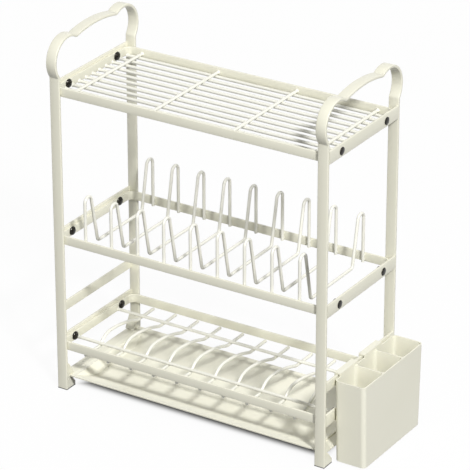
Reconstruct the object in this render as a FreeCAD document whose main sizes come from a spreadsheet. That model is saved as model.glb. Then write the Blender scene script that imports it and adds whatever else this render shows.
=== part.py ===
import FreeCAD, Part
import math
import os

# Three-tier dish rack. Two bent flat-bar side strips carry three wire tiers,
# a drip tray that pulls out at the front and a cutlery holder on the right.
# X runs along the shelves, Y from the front to the back, Z up. The origin is
# below the middle of the whole rack, on the surface that it stands on.

V = FreeCAD.Vector
doc = FreeCAD.newDocument("dish_rack")

# Driving sizes in millimetres
SIZES = {
    "rack_width": 420.0,
    "rack_depth": 180.0,
    "strip_width": 15.0,
    "strip_thick": 4.0,
    "sole_thick": 1.5,
    "crease_height": 455.3,
    "lobe_radius": 33.0,
    "lobe_inset": 26.3,
    "arch_radius": 195.0,
    "handle_rise": 53.2,
    "bend_radius": 3.0,
    "bar_height": 18.0,
    "bar_thick": 3.0,
    "bar_drop": 1.0,
    "brace_height": 14.0,
    "brace_bottom": 109.5,
    "ring_height": 12.5,
    "ring_thick": 3.0,
    "ring_corner": 12.0,
    "ring_clearance": 0.5,
    "top_tier_drop": 26.3,
    "middle_tier": 216.5,
    "lower_tier": 59.5,
    "wire_radius": 2.2,
    "wire_sides": 6.0,
    "wire_turn_angle": 15.0,
    "bolt_sides": 10.0,
    "shank_sides": 8.0,
    "grid_wire_count": 11.0,
    "grid_drop": 1.0,
    "grid_edge": 5.2,
    "grid_cross_count": 4.0,
    "grid_cross_inset": 22.5,
    "plate_wire_count": 9.0,
    "plate_inset": 39.0,
    "hairpin_radius": 7.5,
    "hairpin_height": 72.2,
    "plate_run_inset": 30.5,
    "plate_bend": 5.0,
    "cup_wire_count": 10.0,
    "cup_inset": 39.7,
    "cup_shift": -4.0,
    "cup_end_inset": 2.0,
    "cup_long_inset": 33.5,
    "cup_turn_angle": 53.0,
    "cup_crown": 28.0,
    "cup_sweep": 25.0,
    "bolt_inset": 34.0,
    "bolt_rise": 7.0,
    "shank_radius": 2.4,
    "hole_clearance": 0.2,
    "head_radius": 5.8,
    "head_height": 4.0,
    "head_lip": 1.2,
    "head_crown": 3.2,
    "bolt_end": 1.1,
    "nut_radius": 5.5,
    "nut_height": 1.8,
    "nut_bore_depth": 1.3,
    "nut_clearance": 0.05,
    "shoe_length": 16.0,
    "heel_height": 5.0,
    "shoe_neck": 3.0,
    "shoe_web": 2.5,
    "shoe_ledge": 6.3,
    "shoe_top": 38.0,
    "runner_bottom": 18.5,
    "runner_thick": 2.0,
    "runner_width": 20.0,
    "runner_inset": 2.0,
    "slot_depth": 10.0,
    "tray_gap": 0.2,
    "tray_side_gap": 3.0,
    "tray_end_gap": 0.5,
    "rim_thick": 1.4,
    "rim_side": 7.0,
    "rim_end": 3.0,
    "tray_depth": 12.5,
    "tray_wall": 1.2,
    "ramp_length": 34.0,
    "ramp_side": 8.0,
    "lip_height": 5.1,
    "lip_thick": 1.6,
    "holder_gap": 2.4,
    "holder_width": 44.6,
    "holder_length": 154.0,
    "holder_taper": 4.0,
    "holder_height": 118.5,
    "holder_foot": 2.5,
    "holder_shift": 6.0,
    "holder_wall": 1.8,
    "holder_corner": 6.0,
    "holder_cell_count": 3.0,
    "hook_width": 44.0,
    "hook_pitch": 62.0,
    "hook_shift": -11.0,
    "hook_thick": 2.0,
    "hook_reach": 9.0,
    "hook_play": 0.3,
}

# Heights that follow from the driving sizes
FOLLOWING = {
    "handle_top": "=crease_height + handle_rise",
    "top_tier": "=crease_height - top_tier_drop",
}

sheet = doc.addObject("Spreadsheet::Sheet", "Sizes")
for row, (alias, value) in enumerate({**SIZES, **FOLLOWING}.items(), start=1):
    sheet.set("A%d" % row, alias)
    sheet.set("B%d" % row, str(value))
    sheet.setAlias("B%d" % row, alias)
doc.recompute()


def size(alias):
    """A size, read back from the sheet."""
    return float(sheet.get(alias))


def count(alias):
    """A count, read back from the sheet."""
    return int(round(size(alias)))


# Places shared by several pieces
LEFT = (size("nut_height") - size("rack_width") - size("holder_gap") - size("holder_width")) / 2
RIGHT = LEFT + size("rack_width")
MIDDLE = (LEFT + RIGHT) / 2
HALF_DEPTH = size("rack_depth") / 2
STRIP_INNER = HALF_DEPTH - size("strip_thick")
RING_OUTER_Y = STRIP_INNER - size("ring_clearance")
RING_INNER_Y = RING_OUTER_Y - size("ring_thick")
RING_OUTER_X = size("rack_width") / 2 - size("bar_thick")
RING_INNER_X = RING_OUTER_X - size("ring_thick")
BOLT_Y = HALF_DEPTH - size("bolt_inset")
TIERS = {"top": "top_tier", "middle": "middle_tier", "lower": "lower_tier"}
LEFT_CELL = "(Sizes.nut_height - Sizes.rack_width - Sizes.holder_gap - Sizes.holder_width) / 2"
RIGHT_CELL = LEFT_CELL + " + Sizes.rack_width"


def place(item, x="0", y="0", z="0"):
    """Bind an object's position to sheet expressions."""
    item.setExpression("Placement.Base.x", x)
    item.setExpression("Placement.Base.y", y)
    item.setExpression("Placement.Base.z", z)


def new_body(name):
    """A body with its own label."""
    body = doc.addObject("PartDesign::Body", name)
    body.Label = name
    return body


def sketch_on(body, name, plane, offset=0.0):
    """A sketch on one of the body's own origin planes, moved along its normal."""
    sketch = body.newObject("Sketcher::SketchObject", name)
    support = [item for item in body.Origin.OriginFeatures if item.Role == plane][0]
    sketch.AttachmentSupport = (support, [""])
    sketch.MapMode = "FlatFace"
    sketch.AttachmentOffset = FreeCAD.Placement(V(0, 0, offset), FreeCAD.Rotation())
    return sketch


def draw_path(sketch, steps, closed=False):
    """Draw lines and arcs. A step is a point, or a pair of arc middle and end."""
    here = steps[0]
    last = steps[-1][1] if isinstance(steps[-1][0], tuple) else steps[-1]
    home = [here] if closed and math.dist(here, last) > 1e-6 else []
    for step in steps[1:] + home:
        if isinstance(step[0], tuple):
            middle, end = step
            curve = Part.Arc(V(*here, 0), V(*middle, 0), V(*end, 0))
        else:
            end = step
            curve = Part.LineSegment(V(*here, 0), V(*end, 0))
        sketch.addGeometry(curve, False)
        here = end


def polygon(centre, radius, sides):
    """The corners of a regular polygon, anticlockwise from the first axis."""
    return [on_circle(centre, radius, 360 * step / sides) for step in range(sides)]


def draw_bolt_holes(sketch, height):
    """Draw the two bolt holes of a bar seen from its side."""
    radius = size("shank_radius") + size("hole_clearance")
    for side in (-BOLT_Y, BOLT_Y):
        draw_path(sketch, polygon((side, height), radius, count("shank_sides")), closed=True)


def rounded_rectangle(low, high, radius):
    """The steps of a rectangle with round corners, anticlockwise."""
    (x0, y0), (x1, y1) = low, high
    cut = radius * (1 - math.sqrt(0.5))
    return [
        (x0 + radius, y0),
        (x1 - radius, y0),
        ((x1 - cut, y0 + cut), (x1, y0 + radius)),
        (x1, y1 - radius),
        ((x1 - cut, y1 - cut), (x1 - radius, y1)),
        (x0 + radius, y1),
        ((x0 + cut, y1 - cut), (x0, y1 - radius)),
        (x0, y0 + radius),
        ((x0 + cut, y0 + cut), (x0 + radius, y0)),
    ]


def pad(body, name, sketch, length):
    """Pad a sketch along its normal by a sheet expression."""
    feature = body.newObject("PartDesign::Pad", name)
    feature.Profile = sketch
    feature.setExpression("Length", length)
    return feature


def edges_along_x(shape, places):
    """Names of the edges that run along X through the given (y, z) places."""
    names = []
    for number, edge in enumerate(shape.Edges, start=1):
        ends = [vertex.Point for vertex in edge.Vertexes]
        if len(ends) == 2 and abs(ends[0].x - ends[1].x) > 1:
            if any(math.dist((end.y, end.z), spot) < 0.01 for end in ends[:1] for spot in places):
                names.append("Edge%d" % number)
    return names


def circles_meet(first, first_radius, second, second_radius):
    """The upper of the two points where two circles cross."""
    gap = math.dist(first, second)
    along = (first_radius**2 - second_radius**2 + gap**2) / (2 * gap)
    across = math.sqrt(first_radius**2 - along**2)
    way = ((second[0] - first[0]) / gap, (second[1] - first[1]) / gap)
    foot = (first[0] + along * way[0], first[1] + along * way[1])
    sides = [(foot[0] - turn * across * way[1], foot[1] + turn * across * way[0]) for turn in (1, -1)]
    return max(sides, key=lambda spot: spot[1])


def on_circle(centre, radius, degrees):
    """A point of a circle."""
    angle = math.radians(degrees)
    return (centre[0] + radius * math.cos(angle), centre[1] + radius * math.sin(angle))


def mirrored(spot):
    """The same (y, z) spot on the other side of the rack's middle."""
    return (-spot[0], spot[1])


# Side strips: one flat bar bent into the front post, the cloud-shaped handle
# and the back post
def handle_half(inset):
    """Crease, lobe side, notch and top of the front half, a given depth inside the bar."""
    radius = size("lobe_radius")
    side = size("lobe_inset")
    lobe = (-HALF_DEPTH + side, size("crease_height") + math.sqrt(radius**2 - side**2))
    arch = (0.0, size("handle_top") - size("arch_radius"))
    inner = radius - inset
    face = -HALF_DEPTH + inset
    crease = (face, lobe[1] - math.sqrt(inner**2 - (lobe[0] - face)**2))
    notch = circles_meet(lobe, inner, arch, size("arch_radius") - inset)
    return crease, (lobe[0] - inner, lobe[1]), notch, (0.0, size("handle_top") - inset)


def side_strip(name, x):
    """One side strip, padded across its width."""
    body = new_body(name)
    sketch = sketch_on(body, name + "_outline", "YZ_Plane")
    foot = size("sole_thick")
    crease, bulge, notch, top = handle_half(0.0)
    crease_in, bulge_in, notch_in, top_in = handle_half(size("strip_thick"))
    outline = [
        (-HALF_DEPTH, foot),
        crease,
        (bulge, notch),
        (top, mirrored(notch)),
        (mirrored(bulge), mirrored(crease)),
        (HALF_DEPTH, foot),
        (STRIP_INNER, foot),
        mirrored(crease_in),
        (mirrored(bulge_in), mirrored(notch_in)),
        (top_in, notch_in),
        (bulge_in, crease_in),
        (-STRIP_INNER, foot),
    ]
    draw_path(sketch, outline, closed=True)
    bar = pad(body, name + "_bar", sketch, "Sizes.strip_width")
    place(body, x)
    doc.recompute()
    hollow_corners = [crease, notch, mirrored(crease), mirrored(notch)]
    round_corners = [crease_in, notch_in, mirrored(crease_in), mirrored(notch_in)]
    inside = body.newObject("PartDesign::Fillet", name + "_inner_bends")
    inside.Base = (bar, edges_along_x(bar.Shape, hollow_corners))
    inside.setExpression("Radius", "Sizes.bend_radius")
    doc.recompute()
    outside = body.newObject("PartDesign::Fillet", name + "_outer_bends")
    outside.Base = (inside, edges_along_x(inside.Shape, round_corners))
    outside.setExpression("Radius", "Sizes.bend_radius + Sizes.strip_thick")
    return body


# Side frames: flat crossbars at each tier and a plain brace, welded between
# the posts and flush with their outer faces
def crossbar(name, x, bottom, height, bolt_height=None):
    """One crossbar, with two bolt holes where a shelf frame is bolted to it."""
    body = new_body(name)
    sketch = sketch_on(body, name + "_face", "YZ_Plane")
    top = size(height)
    draw_path(sketch, [(-STRIP_INNER, 0), (STRIP_INNER, 0), (STRIP_INNER, top), (-STRIP_INNER, top)], True)
    if bolt_height is not None:
        draw_bolt_holes(sketch, bolt_height)
    pad(body, name + "_bar", sketch, "Sizes.bar_thick")
    place(body, x, z=bottom)
    return body


# Shelf frames: a closed ring of flat bar on edge, bolted to the crossbars
def shelf_frame(tier):
    """One shelf frame with its four bolt holes."""
    name = tier + "_shelf_frame"
    body = new_body(name)
    sketch = sketch_on(body, name + "_ring", "XY_Plane")
    corner = size("ring_corner")
    outer = rounded_rectangle((-RING_OUTER_X, -RING_OUTER_Y), (RING_OUTER_X, RING_OUTER_Y), corner)
    inner_corner = corner - size("ring_thick")
    inner = rounded_rectangle((-RING_INNER_X, -RING_INNER_Y), (RING_INNER_X, RING_INNER_Y), inner_corner)
    draw_path(sketch, outer, closed=True)
    draw_path(sketch, inner, closed=True)
    pad(body, name + "_band", sketch, "Sizes.ring_height")
    holes = sketch_on(body, name + "_holes", "YZ_Plane", -size("rack_width"))
    draw_bolt_holes(holes, size("bolt_rise"))
    cut = body.newObject("PartDesign::Pocket", name + "_bolt_holes")
    cut.Profile = holes
    cut.Reversed = True
    cut.setExpression("Length", "2 * Sizes.rack_width")
    place(body, LEFT_CELL + " + Sizes.rack_width / 2", z="Sizes." + TIERS[tier])
    return body


# Wires have six flat sides, two of them level, so that they lie flat on each other
WIRE_CORNER = size("wire_radius") / math.cos(math.pi / count("wire_sides"))
CORNER_CELL = "Sizes.wire_radius / cos(180deg / Sizes.wire_sides)"
ALONG_X = FreeCAD.Rotation(V(0, 1, 0), 90) * FreeCAD.Rotation(V(0, 0, 1), 90)
ALONG_Y = FreeCAD.Rotation(V(1, 0, 0), -90)


def straight_wire(name, start, length, turn):
    """One straight wire."""
    wire = doc.addObject("Part::Prism", name)
    wire.Label = name
    wire.setExpression("Polygon", "Sizes.wire_sides")
    wire.setExpression("Circumradius", CORNER_CELL)
    wire.Height = length
    wire.Placement = FreeCAD.Placement(V(*start), turn)
    return wire


def reach_at(y):
    """Half the length of a wire that runs along X and ends on the ring's inner face."""
    corner = size("ring_corner") - size("ring_thick")
    edge = abs(y) + WIRE_CORNER
    past = edge - (RING_INNER_Y - corner)
    if past <= 0:
        return RING_INNER_X
    return RING_INNER_X - corner + math.sqrt(corner**2 - past**2)


def spread(total, low, high):
    """Evenly spaced places from low to high."""
    return [low + (high - low) * step / (total - 1) for step in range(total)]


# Top tier: long wires side by side, held up by cross wires laid over them
def grid_wires():
    """The long wires and the cross wires of the top tier."""
    level = size("top_tier") + size("wire_radius") - size("grid_drop")
    edge = RING_INNER_Y - size("grid_edge")
    for number, y in enumerate(spread(count("grid_wire_count"), -edge, edge), start=1):
        reach = reach_at(y)
        straight_wire("top_long_wire_%d" % number, (MIDDLE - reach, y, level), 2 * reach, ALONG_X)
    side = RING_INNER_X - size("grid_cross_inset")
    upper = level + 2 * size("wire_radius")
    for number, x in enumerate(spread(count("grid_cross_count"), -side, side), start=1):
        start = (MIDDLE + x, -RING_INNER_Y, upper)
        straight_wire("top_cross_wire_%d" % number, start, 2 * RING_INNER_Y, ALONG_Y)


def in_chords(steps):
    """A tangent path whose arcs, each given by its end and centre, become a few chords."""
    corners = [steps[0]]
    here = steps[0]
    for step in steps[1:-1]:
        if not isinstance(step[0], tuple):
            here = step
            continue
        end, heart = step
        radius = math.dist(here, heart)
        start = math.degrees(math.atan2(here[1] - heart[1], here[0] - heart[0]))
        stop = math.degrees(math.atan2(end[1] - heart[1], end[0] - heart[0]))
        turn = (stop - start + 180) % 360 - 180
        chords = math.ceil(abs(turn) / size("wire_turn_angle"))
        reach = radius / math.cos(math.radians(turn / chords / 2))
        for chord in range(chords):
            corners.append(on_circle(heart, reach, start + turn * (chord + 0.5) / chords))
        here = end
    return corners + [steps[-1]]


def bent_wire(name, x, steps, plane, profile, offset):
    """A wire swept along a path in the YZ plane."""
    body = new_body(name)
    path = sketch_on(body, name + "_path", "YZ_Plane")
    draw_path(path, in_chords(steps))
    section = sketch_on(body, name + "_section", plane, offset)
    draw_path(section, polygon(profile, WIRE_CORNER, count("wire_sides")), closed=True)
    doc.recompute()
    sweep = body.newObject("PartDesign::AdditivePipe", name + "_sweep")
    sweep.Profile = section
    sweep.Spine = (path, ["Edge%d" % edge for edge in range(1, len(path.Geometry) + 1)])
    sweep.Transition = "Right corner"
    body.Placement = FreeCAD.Placement(V(x, 0, 0), FreeCAD.Rotation())
    return body


# Middle tier: plate wires, each bent into a hairpin at the front and the back
# with a level run between
def plate_path():
    """The path of a plate wire from its front end up, down, level, up and down."""
    radius = size("hairpin_radius")
    bend = size("plate_bend")
    leg = RING_INNER_Y - size("wire_radius")
    foot = size("middle_tier")
    level = foot + size("wire_radius") - size("grid_drop") / 2
    pin = (-leg + radius, foot + size("hairpin_height") - radius)
    run = (size("plate_run_inset") - RING_INNER_Y, level)
    reach = math.dist(pin, run)
    slant = math.degrees(math.atan2(pin[1] - run[1], run[0] - pin[0]))
    lean = math.degrees(math.asin(radius / reach)) + 90 - slant
    leave = on_circle(pin, radius, lean)
    way = (math.sin(math.radians(lean)), -math.cos(math.radians(lean)))
    turn = 90 - lean
    back = bend * math.tan(math.radians(turn / 2))
    before = (run[0] - back * way[0], run[1] - back * way[1])
    after = (run[0] + back, run[1])
    centre = (after[0], after[1] + bend)
    return [
        (-leg, foot),
        (-leg, pin[1]),
        (leave, pin),
        before,
        (after, centre),
        mirrored(after),
        (mirrored(before), mirrored(centre)),
        mirrored(leave),
        ((leg, pin[1]), mirrored(pin)),
        (leg, foot),
    ]


def plate_wires():
    """The row of plate wires."""
    side = RING_INNER_X - size("plate_inset")
    steps = plate_path()
    for number, x in enumerate(spread(count("plate_wire_count"), -side, side), start=1):
        name = "plate_wire_%d" % number
        bent_wire(name, MIDDLE + x, steps, "XY_Plane", (0, steps[0][0]), steps[0][1])


# Lower tier: two long wires on the frame, and cup wires below it that turn up
# behind the front one, crown and sink to the back one
LONG_WIRE_Y = RING_INNER_Y - size("cup_long_inset")
CUP_END_Y = RING_OUTER_Y - size("cup_end_inset")


def cup_path():
    """The path of a cup wire from the front to the back."""
    level = size("lower_tier") - size("wire_radius")
    long_wire = (-LONG_WIRE_Y, level + 2 * size("wire_radius"))
    grip = long_wire[1] - level
    turn = size("cup_turn_angle")
    crown = size("cup_crown")
    rise = on_circle(long_wire, grip, 270 + turn)
    heart = on_circle(rise, crown, turn - 90)
    top = (heart[0], heart[1] + crown)
    land = LONG_WIRE_Y - size("wire_radius")
    fall = top[1] - level
    ease = 2 * math.degrees(math.atan2(fall, land - top[0]))
    both = (land - top[0]) / math.sin(math.radians(ease))
    sweep = size("cup_sweep")
    back_heart = (top[0], top[1] - (both - sweep))
    join = on_circle(back_heart, both - sweep, 90 - ease)
    rest_heart = (land, level + sweep)
    return [
        (-CUP_END_Y, level),
        (long_wire[0], level),
        (rise, long_wire),
        (top, heart),
        (join, back_heart),
        ((land, level), rest_heart),
        (CUP_END_Y, level),
    ]


def cup_wires():
    """The long wires and the cup wires of the lower tier."""
    steps = cup_path()
    level = steps[0][1]
    for number, side in enumerate((-1, 1), start=1):
        start = (MIDDLE - RING_INNER_X, side * LONG_WIRE_Y, level + 2 * size("wire_radius"))
        wire = doc.addObject("Part::Cylinder", "lower_long_wire_%d" % number)
        wire.Label = wire.Name
        wire.setExpression("Radius", "Sizes.wire_radius")
        wire.Height = 2 * RING_INNER_X
        wire.Placement = FreeCAD.Placement(V(*start), ALONG_X)
    side = RING_INNER_X - size("cup_inset")
    for number, x in enumerate(spread(count("cup_wire_count"), -side, side), start=1):
        name = "cup_wire_%d" % number
        place_x = MIDDLE + x + size("cup_shift")
        bent_wire(name, place_x, steps, "XZ_Plane", (0, level), CUP_END_Y)


# Fasteners: a domed bolt inside each frame corner and a flat cap nut outside
def stub(sides, radius, start, end, end_radius=None):
    """A straight or tapered stub along X between two regular polygons."""
    rings = []
    for x, reach in ((start, radius), (end, end_radius or radius)):
        corners = [V(x, y, z) for y, z in polygon((0, 0), reach, sides)]
        rings.append(Part.makePolygon(corners + corners[:1]))
    return Part.makeLoft(rings, True, True)


def bolt_shape():
    """A bolt along X, its domed head starting at x = 0 and its shank at x < 0."""
    sides = count("bolt_sides")
    head = size("head_radius")
    lip = size("head_lip")
    tail = size("ring_thick") + size("bar_thick") + size("bolt_end")
    rim = stub(sides, head, 0, lip)
    dome = stub(sides, head, lip, size("head_height"), size("head_crown"))
    shank = stub(count("shank_sides"), size("shank_radius"), -tail, lip)
    return rim.fuse([dome, shank]).removeSplitter()


def nut_shape():
    """A cap nut along X, its open side at x = 0 and its closed side at x < 0."""
    disc = stub(count("bolt_sides"), size("nut_radius"), -size("nut_height"), 0)
    bore_radius = size("shank_radius") + size("nut_clearance")
    bore = stub(count("shank_sides"), bore_radius, -size("nut_bore_depth"), 0)
    return disc.cut(bore)


def fasteners(name, shape, depth):
    """A copy of the shape at each bolt, with its x = 0 plane at the given depth."""
    solids = []
    flip = FreeCAD.Rotation(V(0, 0, 1), 180)
    for alias in TIERS.values():
        height = size(alias) + size("bolt_rise")
        for y in (-BOLT_Y, BOLT_Y):
            solids.append(shape.copy())
            solids[-1].Placement = FreeCAD.Placement(V(LEFT + depth, y, height), FreeCAD.Rotation())
            solids.append(shape.copy())
            solids[-1].Placement = FreeCAD.Placement(V(RIGHT - depth, y, height), flip)
    group = doc.addObject("Part::Feature", name)
    group.Label = name
    group.Shape = Part.makeCompound(solids)
    return group


# Feet: a welded shoe behind each post, slotted for the tray's runner, and a
# thin sole under both
def foot_shoe(name, x, back):
    """One shoe, drawn as the front one and turned about for the back."""
    body = new_body(name)
    sketch = sketch_on(body, name + "_outline", "YZ_Plane")
    base = size("sole_thick")
    neck = size("shoe_neck")
    under = size("runner_bottom")
    over = under + size("runner_thick")
    tip = neck + size("slot_depth")
    web = size("shoe_web")
    outline = [
        (0, base),
        (size("shoe_length"), base),
        (size("shoe_length"), base + size("heel_height")),
        (size("shoe_ledge"), under),
        (web, under),
        (web, over),
        (tip, over),
        (neck, size("shoe_top")),
        (0, size("shoe_top")),
    ]
    draw_path(sketch, outline, closed=True)
    pad(body, name + "_block", sketch, "Sizes.strip_width")
    if back:
        body.Placement = FreeCAD.Placement(V(0, 0, 0), FreeCAD.Rotation(V(0, 0, 1), 180))
        place(body, x + " + Sizes.strip_width", "Sizes.rack_depth / 2 - Sizes.strip_thick")
    else:
        place(body, x, "Sizes.strip_thick - Sizes.rack_depth / 2")
    return body


def foot_soles():
    """The four thin soles, one under each post and its shoe."""
    length = size("strip_thick") + size("shoe_length")
    solids = []
    for x in (LEFT, RIGHT - size("strip_width")):
        for y in (-HALF_DEPTH, HALF_DEPTH - length):
            pad_box = Part.makeBox(size("strip_width"), length, size("sole_thick"), V(x, y, 0))
            solids.append(pad_box)
    group = doc.addObject("Part::Feature", "foot_soles")
    group.Label = "foot_soles"
    group.Shape = Part.makeCompound(solids)
    return group


# Tray runners: a flat strip along each side, held in the shoes' slots
def tray_runner(name, x):
    """One runner."""
    runner = doc.addObject("Part::Box", name)
    runner.Label = name
    web = "Sizes.strip_thick + Sizes.shoe_web"
    runner.setExpression("Length", "Sizes.runner_width")
    runner.setExpression("Width", "Sizes.rack_depth - 2 * (%s)" % web)
    runner.setExpression("Height", "Sizes.runner_thick")
    place(runner, x, "%s - Sizes.rack_depth / 2" % web, "Sizes.runner_bottom")
    return runner


def loft_between(body, name, kind, low, high, low_level, high_level, corner):
    """Add or cut a loft between two rectangles, each given by its low and high corner."""
    sections = []
    for label, box, level in (("_mouth", high, high_level), ("_floor", low, low_level)):
        sketch = sketch_on(body, name + label, "XY_Plane", level)
        if corner > 0:
            draw_path(sketch, rounded_rectangle(box[0], box[1], corner), closed=True)
        else:
            (x0, y0), (x1, y1) = box
            draw_path(sketch, [(x0, y0), (x1, y0), (x1, y1), (x0, y1)], closed=True)
        sections.append(sketch)
    doc.recompute()
    loft = body.newObject(kind, name)
    loft.Profile = sections[0]
    loft.Sections = [sections[1]]
    loft.Ruled = True
    return loft


# Drip tray: a shallow basin with mitred ramps, a flat rim that slides on the
# runners and a lip turned down at the front and the back
def drip_tray():
    """The tray as one moulded piece."""
    body = new_body("drip_tray")
    half_x = size("rack_width") / 2 - size("strip_width") - size("tray_side_gap")
    half_y = STRIP_INNER - size("tray_end_gap")
    under = size("runner_bottom") + size("runner_thick") + size("tray_gap")
    top = under + size("rim_thick")
    floor = top - size("tray_depth")
    mouth_x = half_x - size("rim_side")
    mouth_y = half_y - size("rim_end")
    mouth = ((-mouth_x, -mouth_y), (mouth_x, mouth_y))
    floor_x = mouth_x - size("ramp_side")
    floor_y = mouth_y - size("ramp_length")
    base = ((-floor_x, -floor_y), (floor_x, floor_y))
    rim = sketch_on(body, "tray_rim_outline", "XY_Plane", under)
    draw_path(rim, rounded_rectangle((-half_x, -half_y), (half_x, half_y), size("rim_thick")), closed=True)
    pad(body, "tray_rim", rim, "Sizes.rim_thick")
    drop = size("tray_wall")
    loft_between(body, "tray_basin", "PartDesign::AdditiveLoft", base, mouth, floor - drop, top - drop, 0)
    lips = sketch_on(body, "tray_lips_outline", "YZ_Plane", -mouth_x)
    low = top - size("lip_height")
    for side in (-1, 1):
        outer = side * half_y
        inner = side * (half_y - size("lip_thick"))
        draw_path(lips, [(outer, under), (outer, low), (inner, low), (inner, under)], closed=True)
    wall = body.newObject("PartDesign::Pad", "tray_lips")
    wall.Profile = lips
    wall.Length = 2 * mouth_x
    loft_between(body, "tray_hollow", "PartDesign::SubtractiveLoft", base, mouth, floor, top, 0)
    place(body, LEFT_CELL + " + Sizes.rack_width / 2")
    return body


# Cutlery holder: a tapered box of three cells with two hooks over the brace
def cutlery_holder():
    """The holder as one moulded piece."""
    body = new_body("cutlery_holder")
    wide = size("holder_width")
    taper = size("holder_taper")
    wall = size("holder_wall")
    half = size("holder_length") / 2
    base = size("holder_foot")
    top = base + size("holder_height")
    corner = size("holder_corner")
    mouth = ((0, -half), (wide, half))
    foot = ((0, -half + taper), (wide, half - taper))
    loft_between(body, "holder_block", "PartDesign::AdditiveLoft", foot, mouth, base, top, corner)
    cells = count("holder_cell_count")
    pitch = (2 * half - wall) / cells
    low_pitch = (2 * half - 2 * taper - wall) / cells
    for cell in range(cells):
        start = -half + wall + cell * pitch
        low_start = -half + taper + wall + cell * low_pitch
        mouth_cell = ((wall, start), (wide - wall, start + pitch - wall))
        low_cell = ((wall, low_start), (wide - wall, low_start + low_pitch - wall))
        name = "holder_cell_%d" % (cell + 1)
        cut = "PartDesign::SubtractiveLoft"
        loft_between(body, name, cut, low_cell, mouth_cell, base + wall, top, corner - wall)
    hooks = sketch_on(body, "holder_hooks_outline", "XZ_Plane")
    brace_top = size("brace_bottom") + size("brace_height")
    thick = size("hook_thick")
    under = brace_top + size("hook_play")
    inside = -size("holder_gap") - size("bar_thick") - size("hook_play")
    neck = size("holder_wall")
    outline = [
        (0, top - neck),
        (neck, top - neck),
        (neck, under + thick),
        (inside - thick, under + thick),
        (inside - thick, brace_top - size("hook_reach")),
        (inside, brace_top - size("hook_reach")),
        (inside, under),
        (0, under),
    ]
    draw_path(hooks, outline, closed=True)
    for number, side in enumerate((-0.5, 0.5), start=1):
        tab = body.newObject("PartDesign::Pad", "holder_hook_%d" % number)
        middle = side * size("hook_pitch") + size("hook_shift")
        tab.Profile = hooks
        tab.SideType = "Two sides"
        tab.Length = size("hook_width") / 2 - middle
        tab.Length2 = size("hook_width") / 2 + middle
    place(body, RIGHT_CELL + " + Sizes.holder_gap", "Sizes.holder_shift")
    return body


RIGHT_STRIP = RIGHT_CELL + " - Sizes.strip_width"
RIGHT_BAR = RIGHT_CELL + " - Sizes.bar_thick"
for side, strip_x, bar_x in (("left", LEFT_CELL, LEFT_CELL), ("right", RIGHT_STRIP, RIGHT_BAR)):
    side_strip(side + "_side_strip", strip_x)
    crossbar(side + "_brace", bar_x, "Sizes.brace_bottom", "brace_height")
    for tier, alias in TIERS.items():
        bottom = "Sizes.%s - Sizes.bar_drop" % alias
        hole = size("bolt_rise") + size("bar_drop")
        crossbar("%s_%s_crossbar" % (side, tier), bar_x, bottom, "bar_height", hole)
    foot_shoe(side + "_front_shoe", strip_x, False)
    foot_shoe(side + "_back_shoe", strip_x, True)
for tier in TIERS:
    shelf_frame(tier)
grid_wires()
plate_wires()
cup_wires()
fasteners("shelf_bolts", bolt_shape(), size("bar_thick") + size("ring_thick"))
fasteners("shelf_nuts", nut_shape(), 0.0)
foot_soles()
tray_runner("left_tray_runner", LEFT_CELL + " + Sizes.runner_inset")
tray_runner("right_tray_runner", RIGHT_CELL + " - Sizes.runner_inset - Sizes.runner_width")
drip_tray()
cutlery_holder()
doc.recompute()

# Check every object and write one file per sub-part
for item in doc.Objects:
    if "Invalid" in item.State or "Error" in item.State:
        raise RuntimeError("%s did not compute" % item.Label)
pieces = [item for item in doc.Objects if item.getParentGeoFeatureGroup() is None and hasattr(item, "Shape")]
os.makedirs("parts", exist_ok=True)
for piece in pieces:
    if piece.Shape.isNull() or not piece.Shape.isValid():
        raise RuntimeError("%s has no valid solid" % piece.Label)
    piece.Shape.exportStep("parts/%s.step" % piece.Label)
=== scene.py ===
import math

import bmesh
import bpy
import numpy as np
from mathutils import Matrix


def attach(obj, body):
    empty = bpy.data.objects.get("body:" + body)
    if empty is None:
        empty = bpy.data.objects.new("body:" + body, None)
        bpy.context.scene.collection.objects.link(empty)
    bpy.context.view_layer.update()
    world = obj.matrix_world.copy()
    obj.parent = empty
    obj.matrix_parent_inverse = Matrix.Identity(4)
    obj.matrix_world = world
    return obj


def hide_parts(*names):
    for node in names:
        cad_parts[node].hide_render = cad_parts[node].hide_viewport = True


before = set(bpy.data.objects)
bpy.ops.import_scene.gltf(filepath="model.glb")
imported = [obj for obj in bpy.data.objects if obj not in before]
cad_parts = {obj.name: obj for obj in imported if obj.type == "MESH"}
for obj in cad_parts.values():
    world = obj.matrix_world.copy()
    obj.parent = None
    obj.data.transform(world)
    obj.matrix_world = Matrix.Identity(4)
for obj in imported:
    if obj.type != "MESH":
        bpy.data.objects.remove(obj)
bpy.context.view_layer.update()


# The two side strips: each is one flat steel bar, 15 by 4 mm, bent cold into the
# front post, the cloud-shaped handle and the back post, its edges slightly
# rounded by the rolling mill, and powder coated cream. They stand on thin soles.
RACK_WIDTH, RACK_DEPTH = 420.0, 180.0
CAP_OUT, STRIP_TO_HOLDER = 1.8, 467.0
LEFT = (CAP_OUT - STRIP_TO_HOLDER) / 2  # halfway from the left cap nuts to the holder is 0
RIGHT = LEFT + RACK_WIDTH
MIDDLE = LEFT + RACK_WIDTH / 2
STRIP_WIDTH, STRIP_THICK, STRIP_EDGE = 15.0, 4.0, 1.1
STRIP_Y = RACK_DEPTH / 2 - STRIP_THICK / 2
SOLE_THICK = 1.5


def arc(centre, radius, start, stop, step=6.0):
    """Points on a circle: the centre plus radius times cosine and sine of even degrees."""
    turn = np.radians(np.linspace(start, stop, int(abs(stop - start) / step) + 2))
    return np.column_stack([centre[0] + radius * np.cos(turn), centre[1] + radius * np.sin(turn)])


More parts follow.
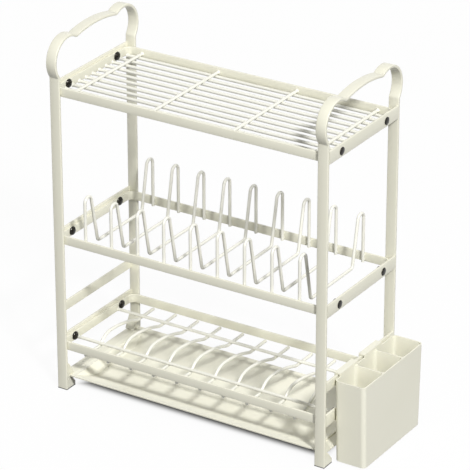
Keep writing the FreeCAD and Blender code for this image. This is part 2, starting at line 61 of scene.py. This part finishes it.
def upper_meeting(first, first_radius, second, second_radius):
    """The upper crossing of two circles: along their centre line by the law of cosines, then
    square to it by the square root of the radius squared minus that way squared."""
    first, second = np.array(first), np.array(second)
    gap = np.linalg.norm(second - first)
    along = (first_radius**2 - second_radius**2 + gap**2) / (2 * gap)
    across = math.sqrt(first_radius**2 - along**2)
    way = (second - first) / gap
    square = across * np.array([-way[1], way[0]])
    foot = first + along * way
    return max([foot + square, foot - square], key=lambda spot: spot[1])


def degrees_to(start, end):
    """The direction from one point to another: the arctangent of rise over run, in degrees."""
    return math.degrees(math.atan2(end[1] - start[1], end[0] - start[0]))


def strip_line():
    """The bar's middle line: a straight post, a bend, the lobe, a bend and the arch, and the
    same mirrored. A bend touches both its neighbours, so its centre is where the post's line
    and the circles, all moved out by the bend's radius, meet."""
    lobe_radius, lobe_inset, arch_radius, bend = 33.0, 26.3, 195.0, 5.0
    crease, top, post_steps = 455.3, 508.5, 40
    lobe = (lobe_inset - RACK_DEPTH / 2, crease + math.sqrt(lobe_radius**2 - lobe_inset**2))
    arch = (0.0, top - arch_radius)
    lobe_mid = lobe_radius - STRIP_THICK / 2
    arch_mid = arch_radius - STRIP_THICK / 2
    low_y = -STRIP_Y - bend
    low = (low_y, lobe[1] - math.sqrt((lobe_mid + bend) ** 2 - (lobe[0] - low_y) ** 2))
    notch = upper_meeting(lobe, lobe_mid + bend, arch, arch_mid + bend)
    lean = degrees_to(low, lobe)
    turn = degrees_to(lobe, notch)
    heights = np.linspace(SOLE_THICK, low[1], post_steps + 1)[:-1]
    half = np.vstack([
        np.column_stack([np.full(post_steps, -STRIP_Y), heights]),
        arc(low, bend, 0, lean),
        arc(lobe, lobe_mid, 180 + lean, turn, step=4)[1:],
        arc(notch, bend, 180 + turn, degrees_to(notch, arch) + 360)[1:],
        arc(arch, arch_mid, degrees_to(arch, notch), 90, step=1)[1:],
    ])
    return np.vstack([half, (half * (-1, 1))[::-1][1:]])


def bar_section(width, thick, corner, steps=3):
    """A rectangle with quarter-circle corners, anticlockwise."""
    corners = []
    for turn, (x, y) in enumerate([(1, 1), (-1, 1), (-1, -1), (1, -1)]):
        centre = (x * (width / 2 - corner), y * (thick / 2 - corner))
        angle = np.radians(np.linspace(90 * turn, 90 * turn + 90, steps + 1))
        corners.append(np.column_stack([
            centre[0] + corner * np.cos(angle), centre[1] + corner * np.sin(angle)]))
    return np.vstack(corners)


def wall_faces(rings, sides, closed=False):
    """The faces between each ring of points and the next, and from the last back to the first
    if closed: a point, the one beside it, the one ahead of that, and the one straight ahead."""
    first = np.arange(rings if closed else rings - 1)[:, None] * sides
    here = (first + np.arange(sides)).ravel()
    beside = (first + (np.arange(sides) + 1) % sides).ravel()
    points = rings * sides
    return np.column_stack([here, beside, (beside + sides) % points, (here + sides) % points])


def end_faces(rings, sides):
    """The first ring and the last one as flat faces that look away from each other."""
    return [list(range(sides))[::-1], list(range((rings - 1) * sides, rings * sides))]


def carried(section, line, across, closed=False, swell=None):
    """A section carried along a line in space. Each point is the line's point, plus the section's
    first number times the across direction, plus its second times the normal, which is the
    tangent crossed with across. The swell scales the section at each point of the line."""
    line, across = np.asarray(line, float), np.asarray(across, float)
    if closed:
        tangent = np.roll(line, -1, axis=0) - np.roll(line, 1, axis=0)
    else:
        tangent = np.gradient(line, axis=0)
    tangent /= np.linalg.norm(tangent, axis=1, keepdims=True)
    normal = np.cross(tangent, across)
    scale = np.ones(len(line)) if swell is None else swell
    points = (line[:, None, :] + scale[:, None, None] * (
        section[None, :, 0, None] * across + section[None, :, 1, None] * normal[:, None, :]))
    faces = wall_faces(len(line), len(section), closed).tolist()
    if not closed:
        faces += end_faces(len(line), len(section))
    return points.reshape(-1, 3), faces


def make_piece(name, shapes, finish, node):
    """One object from (points in millimetres, faces) shapes, smooth but for crisp corners. It
    rides on the rack and stands in for the CAD node."""
    crisp = math.radians(40)
    points, faces, first = [], [], 0
    for spots, sides in shapes:
        points.append(spots)
        faces += [[first + corner for corner in side] for side in sides]
        first += len(spots)
    mesh = bpy.data.meshes.new(name)
    mesh.from_pydata((np.vstack(points) / 1000).tolist(), [], faces)
    mesh.polygons.foreach_set("use_smooth", np.ones(len(mesh.polygons), bool))
    mesh.set_sharp_from_angle(angle=crisp)
    mesh.materials.append(finish)
    mesh.update()
    piece = bpy.data.objects.new(name, mesh)
    bpy.context.scene.collection.objects.link(piece)
    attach(piece, "rack")
    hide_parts(node)


class Wire:
    """A shader socket on which each of Python's operators adds a Math node."""

    def __init__(self, nodes, socket):
        self.nodes = nodes
        self.socket = socket

    def _math(self, operation, *values):
        return self.nodes.add("ShaderNodeMath", {"operation": operation}, dict(enumerate(values)))

    def __add__(self, other):
        return self._math("ADD", self, other)

    def __sub__(self, other):
        return self._math("SUBTRACT", self, other)

    def __rsub__(self, other):
        return self._math("SUBTRACT", other, self)

    def __mul__(self, other):
        return self._math("MULTIPLY", self, other)

    __radd__ = __add__
    __rmul__ = __mul__


class Nodes:
    """The shader nodes of one material or of the world."""

    def __init__(self, owner):
        owner.use_nodes = True
        self.tree = owner.node_tree

    def add(self, kind, settings, sockets, output=0):
        """Add a node: first its settings, then a value or a wire for each of its sockets. It
        gives back one output of the node, by number or by name."""
        made = self.tree.nodes.new(kind)
        for setting, value in settings.items():
            setattr(made, setting, value)
        for socket, value in sockets.items():
            if isinstance(value, Wire):
                self.tree.links.new(value.socket, made.inputs[socket])
            else:
                made.inputs[socket].default_value = value
        return Wire(self, made.outputs[output])

    def show(self, surface, output):
        """Link a shader to the tree's output node."""
        self.tree.links.new(surface.socket, self.tree.nodes[output].inputs["Surface"])


class Finish(Nodes):
    """A procedural material on the standard surface shader, with its constants set by name."""

    def __init__(self, name, **constants):
        self.material = bpy.data.materials.new(name)
        super().__init__(self.material)
        self.shader = self.tree.nodes["Principled BSDF"]
        for socket, value in constants.items():
            self.shader.inputs[socket.replace("_", " ")].default_value = value
        self.place = self.add("ShaderNodeTexCoord", {}, {}, "Object")

    def noise(self, scale, detail, rough=0.5):
        """Soft noise between 0 and 1; the scale is in waves per metre."""
        sockets = {"Vector": self.place, "Scale": scale, "Detail": detail, "Roughness": rough}
        return self.add("ShaderNodeTexNoise", {"noise_dimensions": "3D"}, sockets)

    def blend(self, share, low, high):
        """A colour between two colours. The Mix node has its colour sockets at these numbers."""
        factor, first, second, result = 0, 6, 7, 2
        sockets = {factor: share, first: (*low, 1.0), second: (*high, 1.0)}
        return self.add("ShaderNodeMix", {"data_type": "RGBA"}, sockets, result)

    def bump(self, height, depth, strength):
        """A bump of the given depth in metres."""
        sockets = {"Strength": strength, "Distance": depth, "Height": height}
        return self.add("ShaderNodeBump", {}, sockets)

    def set(self, **wires):
        """Link wires to the shader's sockets of the same names, and give back the material."""
        for socket, wire in wires.items():
            self.tree.links.new(wire.socket, self.shader.inputs[socket.replace("_", " ")])
        return self.material


def deepened(color, shares):
    """A colour with each of its parts times its own share."""
    return [part * share for part, share in zip(color, shares)]


def powder_coat(name, color, gloss=0.36):
    """Powder coat: fine orange peel and grit as a bump, clouds of slightly deeper colour, and
    roughness that follows the clouds and the peel."""
    finish = Finish(name, IOR=1.5, Coat_Roughness=0.12)
    peel = finish.noise(950.0, detail=2.0, rough=0.55)
    cloud = finish.noise(16.0, detail=4.0, rough=0.6)
    grit = finish.noise(3200.0, detail=1.0)
    tone = finish.blend(cloud * 0.8 + grit * 0.2, color, deepened(color, (0.94, 0.94, 0.9)))
    rough = cloud * 0.12 + peel * 0.1 + (gloss - 0.1)
    shine = 0.35 - cloud * 0.2
    relief = finish.bump(peel * 0.8 + grit * 0.2, depth=0.00012, strength=0.5)
    return finish.set(Base_Color=tone, Roughness=rough, Coat_Weight=shine, Normal=relief)


CREAM = (0.78, 0.765, 0.655)
strip_coat = powder_coat("strip_coat", CREAM)
strip = strip_line()
for side, x in (("left", LEFT + STRIP_WIDTH / 2), ("right", RIGHT - STRIP_WIDTH / 2)):
    line = np.column_stack([np.full(len(strip), x), strip])
    shape = carried(bar_section(STRIP_WIDTH, STRIP_THICK, STRIP_EDGE), line, (1, 0, 0))
    make_piece(side + "_strip", [shape], strip_coat, side + "_side_strip")


# Crossbars and braces: flat steel bars on edge, welded between the posts before
# the coating. Three crossbars on each side carry the tiers, and the brace below
# the middle one stiffens the side and, on the right, carries the cutlery holder.
TIERS = {"top": 429.0, "middle": 216.5, "lower": 59.5}
POST_INNER_Y = RACK_DEPTH / 2 - STRIP_THICK
SIDE_BAR, SIDE_EDGE = 3.0, 0.7
CROSSBAR_DROP, CROSSBAR_HEIGHT = 1.0, 18.0
BRACE_BOTTOM, BRACE_HEIGHT = 109.5, 14.0

for side, x in (("left", LEFT + SIDE_BAR / 2), ("right", RIGHT - SIDE_BAR / 2)):
    bars = [(side + "_brace", BRACE_BOTTOM, BRACE_HEIGHT)]
    for tier, level in TIERS.items():
        bars.append(("%s_%s_crossbar" % (side, tier), level - CROSSBAR_DROP, CROSSBAR_HEIGHT))
    for node, bottom, height in bars:
        middle = bottom + height / 2
        run = [(x, -POST_INNER_Y, middle), (x, POST_INNER_Y, middle)]
        shape = carried(bar_section(height, SIDE_BAR, SIDE_EDGE), run, (0, 0, 1))
        make_piece(node + "_bar", [shape], strip_coat, node)


# Shelf frames: flat steel bar on edge, bent into a closed ring with round
# corners, powder coated, and bolted to the crossbars of its tier
ring_coat = powder_coat("ring_coat", CREAM)
RING_HEIGHT, RING_THICK, RING_EDGE = 12.5, 3.0, 0.8
RING_CORNER, RING_GAP = 12.0, 0.5
RING_X = RACK_WIDTH / 2 - SIDE_BAR - RING_THICK / 2
RING_Y = POST_INNER_Y - RING_GAP - RING_THICK / 2


def ring_line(half_x, half_y, corner):
    """The middle line of a ring: four straights joined by quarter circles."""
    spots = []
    for turn, (x, y) in enumerate([(1, 1), (-1, 1), (-1, -1), (1, -1)]):
        centre = (x * (half_x - corner), y * (half_y - corner))
        spots.append(arc(centre, corner, 90 * turn, 90 * turn + 90, step=9))
    return np.vstack(spots)


ring = ring_line(RING_X, RING_Y, RING_CORNER - RING_THICK / 2)
for tier, level in TIERS.items():
    height = np.full(len(ring), level + RING_HEIGHT / 2)
    line = np.column_stack([ring[:, 0] + MIDDLE, ring[:, 1], height])
    shape = carried(bar_section(RING_HEIGHT, RING_THICK, RING_EDGE), line, (0, 0, 1), closed=True)
    make_piece(tier + "_ring", [shape], ring_coat, tier + "_shelf_frame")


# Wires of the top tier: eleven long steel wires let into the ring and four cross
# wires laid over them, resistance welded where they cross and at their ends, and
# powder coated with the ring
# The wire coat is painted a little whiter and more neutral than the ring's coat. This is painted
# light: it stands in for the brightly lit tops of the wires on every tier.
wire_coat_painted_light = powder_coat("wire_coat_painted_light", (0.82, 0.812, 0.75), 0.28)
WIRE_RADIUS = 2.2
INNER_X = RING_X - RING_THICK / 2
INNER_Y = RING_Y - RING_THICK / 2
INNER_CORNER = RING_CORNER - RING_THICK
GRID_DROP, GRID_EDGE, CROSS_INSET = 1.0, 5.2, 22.5
GRID_LEVEL = TIERS["top"] + WIRE_RADIUS - GRID_DROP
GRID_Y = np.linspace(-1, 1, 11) * (INNER_Y - GRID_EDGE)
GRID_X = MIDDLE + np.linspace(-1, 1, 4) * (INNER_X - CROSS_INSET)
END_STEPS = (0.5, 1.0, 1.6, 2.4, 3.6)


def wire_section(sides=16):
    """A circle: the wire's radius times cosine and sine of even steps round."""
    turn = np.arange(sides) * 2 * math.pi / sides
    return WIRE_RADIUS * np.column_stack([np.cos(turn), np.sin(turn)])


def weld_swell(line, extra=0.4, reach=1.0):
    """The swell of the welds at both ends of a wire: one, plus for each end extra times e to the
    power of minus the distance from it over the reach."""
    steps = np.linalg.norm(np.diff(line, axis=0), axis=1)
    length = np.concatenate([[0], np.cumsum(steps)])
    return 1 + extra * np.exp(-length / reach) + extra * np.exp((length - length[-1]) / reach)


def even_run(start, end):
    """A straight run with extra points close to both ends, for the swell of the welds."""
    start, end = np.array(start, float), np.array(end, float)
    length = np.linalg.norm(end - start)
    places = np.array([0, *END_STEPS, *(length - np.array(END_STEPS[::-1])), length]) / length
    return start + places[:, None] * (end - start)


def bead(centre, size=(1.5, 1.3, 0.9)):
    """A weld bead: a ball, from the sine and cosine of its polar angle, stretched by three sizes.
    Its rings run downwards, so the faces between them are turned over."""
    rings, sides = 5, 8
    polar = np.linspace(0, math.pi, rings + 2)[1:-1, None]
    turn = np.arange(sides) * 2 * math.pi / sides
    ball = np.stack([
        np.sin(polar) * np.cos(turn),
        np.sin(polar) * np.sin(turn),
        np.cos(polar) * np.ones(sides),
    ], axis=2).reshape(-1, 3)
    points = np.vstack([ball, [[0, 0, 1], [0, 0, -1]]]) * size + centre
    top, bottom, last = rings * sides, rings * sides + 1, (rings - 1) * sides
    side = np.arange(sides)
    after = (side + 1) % sides
    faces = wall_faces(rings, sides)[:, [0, 3, 2, 1]].tolist()
    faces += np.column_stack([np.full(sides, top), side, after]).tolist()
    faces += np.column_stack([np.full(sides, bottom), last + after, last + side]).tolist()
    return points, faces


for number, y in enumerate(GRID_Y, start=1):
    past = abs(y) + WIRE_RADIUS - (INNER_Y - INNER_CORNER)
    reach = INNER_X
    if past > 0:
        reach = INNER_X - INNER_CORNER + math.sqrt(INNER_CORNER**2 - past**2)
    line = even_run((MIDDLE - reach, y, GRID_LEVEL), (MIDDLE + reach, y, GRID_LEVEL))
    shapes = [carried(wire_section(), line, (0, 0, 1), swell=weld_swell(line))]
    shapes += [bead((x, y, GRID_LEVEL + WIRE_RADIUS)) for x in GRID_X]
    make_piece("top_long_%d" % number, shapes, wire_coat_painted_light, "top_long_wire_%d" % number)
for number, x in enumerate(GRID_X, start=1):
    level = GRID_LEVEL + 2 * WIRE_RADIUS
    line = even_run((x, -INNER_Y, level), (x, INNER_Y, level))
    shape = carried(wire_section(), line, (0, 0, 1), swell=weld_swell(line))
    make_piece("top_cross_%d" % number, [shape], wire_coat_painted_light, "top_cross_wire_%d" % number)


# Plate wires of the middle tier: each is one steel rod bent into a hairpin at the
# front and at the back with a level run between, its legs welded inside the ring
PIN_RADIUS, PIN_HEIGHT = 7.5, 72.2
RUN_HALF, RUN_BEND, RUN_DROP = 52.0, 5.0, 0.5
PLATE_INSET = 39.0
LEG_WELD, WELD_SINK, WELD_RISES = (2.6, 0.9, 1.6), 0.5, (3.0, 9.5)


def plate_line():
    """Up the leg, round the hairpin, down a leaning leg, round a bend, level, and the same
    mirrored. The leaning leg is the line from the corner of the run that touches the hairpin's
    circle, and the bend starts its radius times the tangent of half its turn off that corner."""
    leg = INNER_Y - WIRE_RADIUS
    foot = TIERS["middle"]
    pin = (-leg + PIN_RADIUS, foot + PIN_HEIGHT - PIN_RADIUS)
    run = (-RUN_HALF, foot + WIRE_RADIUS - RUN_DROP)
    slant = -degrees_to(pin, run)
    lean = math.degrees(math.asin(PIN_RADIUS / math.dist(pin, run))) + 90 - slant
    turn = 90 - lean
    after = -RUN_HALF + RUN_BEND * math.tan(math.radians(turn / 2))
    half = np.vstack([
        even_run((-leg, foot), (-leg, pin[1]))[:-len(END_STEPS)],
        arc(pin, PIN_RADIUS, 180, lean, step=9),
        arc((after, run[1] + RUN_BEND), RUN_BEND, 180 + lean, 270, step=9),
    ])
    return np.vstack([half, (half * (-1, 1))[::-1]])


plate = plate_line()
plate_x = MIDDLE + np.linspace(-1, 1, 9) * (INNER_X - PLATE_INSET)
for number, x in enumerate(plate_x, start=1):
    line = np.column_stack([np.full(len(plate), x), plate])
    shapes = [carried(wire_section(), line, (1, 0, 0))]
    for y in (-INNER_Y + WELD_SINK, INNER_Y - WELD_SINK):
        shapes += [bead((x, y, TIERS["middle"] + rise), LEG_WELD) for rise in WELD_RISES]
    make_piece("plate_rod_%d" % number, shapes, wire_coat_painted_light, "plate_wire_%d" % number)


# Cup wires of the lower tier: steel rods welded under the ring and to two long
# wires, turned up behind the front one, crowned and swept down to the back one
CUP_LEVEL = TIERS["lower"] - WIRE_RADIUS
LONG_Y, CUP_TUCK = 49.0, 0.2
CUP_SHIFT, CUP_INSET = 4.0, 39.7
CROSS_WELD = (1.3, 1.5, 0.9)


def cup_line():
    """Level, a tight turn up round the long wire, over the crown, down a long sweep, and level
    again. The way down is two arcs that touch: each turns by twice the arctangent of the drop
    over the run, and their radii together are the run over the sine of that angle."""
    turn, crown, sweep, grip = 53.0, 28.0, 25.0, 2 * WIRE_RADIUS
    hub = (-LONG_Y, CUP_LEVEL + grip)
    rise = arc(hub, grip, 270, 270 + turn, step=9)
    steep = math.radians(turn)
    heart = rise[-1] + crown * np.array([math.sin(steep), -math.cos(steep)])
    top = heart + (0, crown)
    land = LONG_Y - WIRE_RADIUS
    ease = 2 * math.degrees(math.atan2(top[1] - CUP_LEVEL, land - top[0]))
    wide = (land - top[0]) / math.sin(math.radians(ease)) - sweep
    return np.vstack([
        [(-INNER_Y - CUP_TUCK, CUP_LEVEL)],
        rise,
        arc(heart, crown, 90 + turn, 90)[1:],
        arc((top[0], top[1] - wide), wide, 90, 90 - ease, step=3)[1:],
        arc((land, CUP_LEVEL + sweep), sweep, 270 - ease, 270, step=3)[1:],
        [(INNER_Y + CUP_TUCK, CUP_LEVEL)],
    ])


for number, y in enumerate((-LONG_Y, LONG_Y), start=1):
    level = CUP_LEVEL + 2 * WIRE_RADIUS
    line = even_run((MIDDLE - INNER_X, y, level), (MIDDLE + INNER_X, y, level))
    shape = carried(wire_section(), line, (0, 0, 1), swell=weld_swell(line))
    make_piece("lower_long_%d" % number, [shape], wire_coat_painted_light, "lower_long_wire_%d" % number)
cup = cup_line()
cup_x = MIDDLE - CUP_SHIFT + np.linspace(-1, 1, 10) * (INNER_X - CUP_INSET)
for number, x in enumerate(cup_x, start=1):
    line = np.column_stack([np.full(len(cup), x), cup])
    shapes = [carried(wire_section(), line, (1, 0, 0))]
    shapes += [bead((x, y, CUP_LEVEL + WIRE_RADIUS), CROSS_WELD) for y in (-LONG_Y, LONG_Y)]
    make_piece("cup_rod_%d" % number, shapes, wire_coat_painted_light, "cup_wire_%d" % number)


# Fasteners: domed machine screws of dark plated steel inside the frames, and
# flat cap nuts outside, turned on a lathe and plated under a clear lacquer
SHANK_RADIUS = 2.4
BOLT_Y, BOLT_RISE = 56.0, 7.0
HEAD_SEAT = SIDE_BAR + RING_THICK


def domed(radius, chamfer, lip, crown, steps):
    """A head's profile of (distance, radius): a small chamfer, a straight lip, and a quarter
    ellipse, the lip plus the crown times the sine, and the radius times the cosine."""
    chamfer_top, first, last = 0.15, 8, 84
    angle = np.radians(np.linspace(first, last, steps))
    edge = [(0, SHANK_RADIUS), (0, radius - chamfer), (chamfer_top, radius), (lip, radius)]
    return np.vstack([
        edge, np.column_stack([lip + crown * np.sin(angle), radius * np.cos(angle)])])


def turned(profile, centre, way, sides=28):
    """A profile of (distance, radius) turned about X: the centre plus the distance along the way,
    and the radius times cosine and sine of even steps round."""
    angle = np.arange(sides) * 2 * math.pi / sides
    points = np.stack([
        centre[0] + way * np.repeat(profile[:, :1], sides, axis=1),
        centre[1] + profile[:, 1:] * np.cos(angle),
        centre[2] + profile[:, 1:] * np.sin(angle),
    ], axis=2).reshape(-1, 3)
    faces = wall_faces(len(profile), sides).tolist() + end_faces(len(profile), sides)
    return points, [face[::-1] for face in faces] if way > 0 else faces


def dark_steel():
    """Dark plated steel under clear lacquer: fine turning marks, a little lighter in patches."""
    finish = Finish("dark_plating", Metallic=1.0, Coat_Weight=0.25, Coat_Roughness=0.08)
    wear = finish.noise(420.0, detail=4.0, rough=0.65)
    marks = finish.noise(2600.0, detail=2.0)
    tone = finish.blend(wear, (0.014, 0.013, 0.011), (0.045, 0.042, 0.036))
    rough = wear * 0.08 + marks * 0.06 + 0.1
    relief = finish.bump(marks, depth=0.00001, strength=0.2)
    return finish.set(Base_Color=tone, Roughness=rough, Normal=relief)


plating = dark_steel()
head = domed(radius=6.1, chamfer=0.2, lip=0.8, crown=3.2, steps=11)
cap = domed(radius=5.5, chamfer=0.1, lip=0.5, crown=1.3, steps=9)
heads, caps = [], []
for level in TIERS.values():
    for y in (-BOLT_Y, BOLT_Y):
        for outer, way in ((LEFT, 1), (RIGHT, -1)):
            heads.append(turned(head, (outer + way * HEAD_SEAT, y, level + BOLT_RISE), way))
            caps.append(turned(cap, (outer, y, level + BOLT_RISE), -way))
make_piece("bolt_heads", heads, plating, "shelf_bolts")
make_piece("cap_nuts", caps, plating, "shelf_nuts")


# Feet and runners: cut steel shoes welded behind the posts and coated with them,
# flat steel runners in their slots for the tray, and thin grey rubber soles
# glued under the posts and shoes
def softened(name, node, width, finish, body="rack", steps=2):
    """A copy of a CAD node with its triangles joined and its sharp edges rolled over by the
    width in millimetres."""
    same_place, flat, sharp = 2e-6, math.radians(1), math.radians(30)
    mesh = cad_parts[node].data.copy()
    mesh.materials.clear()
    mesh.materials.append(finish)
    work = bmesh.new()
    work.from_mesh(mesh)
    bmesh.ops.remove_doubles(work, verts=work.verts, dist=same_place)
    bmesh.ops.dissolve_limit(work, angle_limit=flat, verts=work.verts, edges=work.edges)
    work.to_mesh(mesh)
    work.free()
    mesh.polygons.foreach_set("use_smooth", np.ones(len(mesh.polygons), bool))
    piece = bpy.data.objects.new(name, mesh)
    bpy.context.scene.collection.objects.link(piece)
    roll = piece.modifiers.new("rolled_edges", "BEVEL")
    roll.width = width / 1000
    roll.segments = steps
    roll.limit_method = "ANGLE"
    roll.angle_limit = sharp
    even = piece.modifiers.new("even_shading", "WEIGHTED_NORMAL")
    even.weight = 100
    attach(piece, body)
    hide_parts(node)
    return piece


def rubber():
    """Grey rubber: fine moulding grain and dusty lighter patches."""
    finish = Finish("sole_rubber", Specular_IOR_Level=0.3)
    dust = finish.noise(180.0, detail=4.0)
    grain = finish.noise(2500.0, detail=2.0)
    tone = finish.blend(dust, (0.10, 0.10, 0.095), (0.2, 0.2, 0.19))
    relief = finish.bump(grain, depth=0.0001, strength=0.6)
    return finish.set(Base_Color=tone, Roughness=dust * 0.2 + 0.65, Normal=relief)


for side in ("left", "right"):
    for end in ("front", "back"):
        softened("%s_%s_foot" % (side, end), "%s_%s_shoe" % (side, end), 0.5, strip_coat)
    softened(side + "_runner", side + "_tray_runner", 0.5, strip_coat)
softened("rubber_soles", "foot_soles", 0.3, rubber())


# Drip tray: injection moulded and smooth, with mitred ramps down to a shallow
# basin. It lies loose: its rim slides on the runners, and the rim's front and
# back edges are turned down by less than two millimetres.
def moulded(name, gloss, grain_scale, grain_depth, coat):
    """Cream moulded plastic: a polished or spark-eroded grain, faint flow clouds and rubbing
    marks, which make it rougher and take from its shine."""
    finish = Finish(name, IOR=1.48, Coat_Roughness=0.06, Specular_IOR_Level=0.35)
    cream = (0.83, 0.815, 0.705)
    flow = finish.noise(9.0, detail=3.0, rough=0.55)
    grain = finish.noise(grain_scale, detail=2.0, rough=0.6)
    rub = finish.noise(140.0, detail=5.0, rough=0.7)
    tone = finish.blend(flow, cream, deepened(cream, (0.95, 0.95, 0.92)))
    rough = rub * 0.12 + grain * 0.05 + (gloss - 0.08)
    relief = finish.bump(grain, depth=grain_depth, strength=0.5)
    return finish.set(Base_Color=tone, Roughness=rough, Coat_Weight=coat - rub * 0.15,
                      Normal=relief)


tray_gloss = moulded("tray_gloss", 0.3, grain_scale=600.0, grain_depth=0.00003, coat=0.2)
tray = softened("tray_moulding", "drip_tray", 0.5, tray_gloss, "tray", steps=3)
# The CAD tray's turned-down edges reach lower than the real ones: all that lies
# beyond LIP_INNER_Y and below LIP_FOOT goes up to LIP_BOTTOM.
LIP_INNER_Y, LIP_FOOT, LIP_BOTTOM = 83.5, 18.0, 20.2
spots = np.empty(3 * len(tray.data.vertices), np.float32)
tray.data.vertices.foreach_get("co", spots)
spots = spots.reshape(-1, 3)
foot = (abs(spots[:, 1]) > LIP_INNER_Y / 1000) & (spots[:, 2] < LIP_FOOT / 1000)
spots[foot, 2] = LIP_BOTTOM / 1000
tray.data.vertices.foreach_set("co", spots.ravel())
tray.data.update()


# Cutlery holder: an injection moulded box of three cells, satin, hung loose by
# two hooks over the right brace
holder_satin = moulded("holder_satin", 0.38, grain_scale=1500.0, grain_depth=0.00008, coat=0.16)
softened("holder_moulding", "cutlery_holder", 0.6, holder_satin, "holder", steps=3)


# The studio: a white floor and a white world, both seen as plain white, a far
# sharp key lamp at the right front, and soft low lamps in front and behind
def seen_white(nodes, lit, white, share=1.0):
    """A lit shader, mixed with a white one by the share where the camera, a mirror or glass
    looks at it: the greatest of the three rays' marks, times the share."""
    seen = nodes.add("ShaderNodeLightPath", {}, {}, "Is Camera Ray")
    for ray in ("Is Glossy Ray", "Is Transmission Ray"):
        other = nodes.add("ShaderNodeLightPath", {}, {}, ray)
        seen = nodes.add("ShaderNodeMath", {"operation": "MAXIMUM"}, {0: seen, 1: other})
    return nodes.add("ShaderNodeMixShader", {}, {0: seen * share, 1: lit, 2: white})


def stage_floor():
    """A flat square under the rack, in metres. It is white to the camera, but keeps the rack's
    own shadow: faint all round, and deep in a soft-edged rectangle below the tray. It throws
    little light back up, so the rack's undersides stay dark."""
    half, pale, thrown, most_white = 6.0, 0.8, 0.12, 0.95
    mesh = bpy.data.meshes.new("studio_floor")
    corners = [(-half, -half, 0), (half, -half, 0), (half, half, 0), (-half, half, 0)]
    mesh.from_pydata(corners, [], [(0, 1, 2, 3)])
    floor = bpy.data.objects.new("studio_floor", mesh)
    bpy.context.scene.collection.objects.link(floor)
    paint = bpy.data.materials.new("floor_white")
    nodes = Nodes(paint)
    place = nodes.add("ShaderNodeTexCoord", {}, {}, "Object")
    shares = []
    for axis, middle, reach, soft in (("X", MIDDLE / 1000, 0.188, 0.012), ("Y", 0, 0.0625, 0.0085)):
        away = nodes.add("ShaderNodeSeparateXYZ", {}, {0: place}, axis) - middle
        sockets = {
            "Value": nodes.add("ShaderNodeMath", {"operation": "ABSOLUTE"}, {0: away}),
            "From Min": reach - soft, "From Max": reach + soft, "To Max": most_white,
        }
        smooth = {"interpolation_type": "SMOOTHSTEP"}
        shares.append(nodes.add("ShaderNodeMapRange", smooth, sockets, "Result"))
    share = nodes.add("ShaderNodeMath", {"operation": "MAXIMUM"}, dict(enumerate(shares)))
    bounced = nodes.add("ShaderNodeLightPath", {}, {}, "Is Diffuse Ray")
    matt = nodes.add("ShaderNodeBsdfDiffuse", {}, {"Color": pale - bounced * (pale - thrown)})
    white = nodes.add("ShaderNodeEmission", {}, {})
    nodes.show(seen_white(nodes, matt, white, share), "Material Output")
    mesh.materials.append(paint)


def studio_world():
    """Weak even sky light, and plain white where it is seen."""
    world = bpy.data.worlds.new("studio_world")
    bpy.context.scene.world = world
    nodes = Nodes(world)
    sky = {"Color": (1.0, 1.0, 0.99, 1.0), "Strength": 0.3}
    lit = nodes.add("ShaderNodeBackground", {}, sky)
    white = nodes.add("ShaderNodeBackground", {}, {"Color": (1.0, 1.0, 1.0, 1.0)})
    nodes.show(seen_white(nodes, lit, white), "World Output")


def lamp(name, spot, size, power):
    """A square soft lamp at a spot, turned to face the middle of the rack: tilted by the
    arccosine of its way down, and turned by the arctangent of its way across."""
    rack_heart = np.array((0, 0, 0.25))
    light = bpy.data.lights.new(name, "AREA")
    light.size = size
    light.energy = power
    lit = bpy.data.objects.new(name, light)
    bpy.context.scene.collection.objects.link(lit)
    way = (rack_heart - spot) / np.linalg.norm(rack_heart - spot)
    lit.location = spot
    lit.rotation_euler = (math.acos(-way[2]), 0, math.atan2(way[1], way[0]) - math.pi / 2)
    return lit


stage_floor()
studio_world()
lamp("key_lamp", (5.5, -4.0, 6.2), size=1.0, power=850)
lamp("front_lamp", (0.5, -6.5, 1.6), size=2.0, power=60)
lamp("back_lamp", (-3.5, 4.5, 1.8), size=3.0, power=120).visible_glossy = False


# The camera: a long lens from the right front and above, its picture moved a
# little to the side, which is how the photograph was taken and cropped
view = bpy.data.cameras.new("photo_camera")
view.sensor_width = 36
view.lens = 236.04
view.shift_x = -0.0265
view.shift_y = 0.00733
view.clip_end = 50
camera = bpy.data.objects.new("photo_camera", view)
bpy.context.scene.collection.objects.link(camera)
camera.location = (1.9438, -3.088, 1.97225)
camera.rotation_euler = [math.radians(turn) for turn in (64.6865, -0.0461, 32.0223)]
bpy.context.scene.camera = camera
bpy.context.scene.view_settings.view_transform = "Standard"
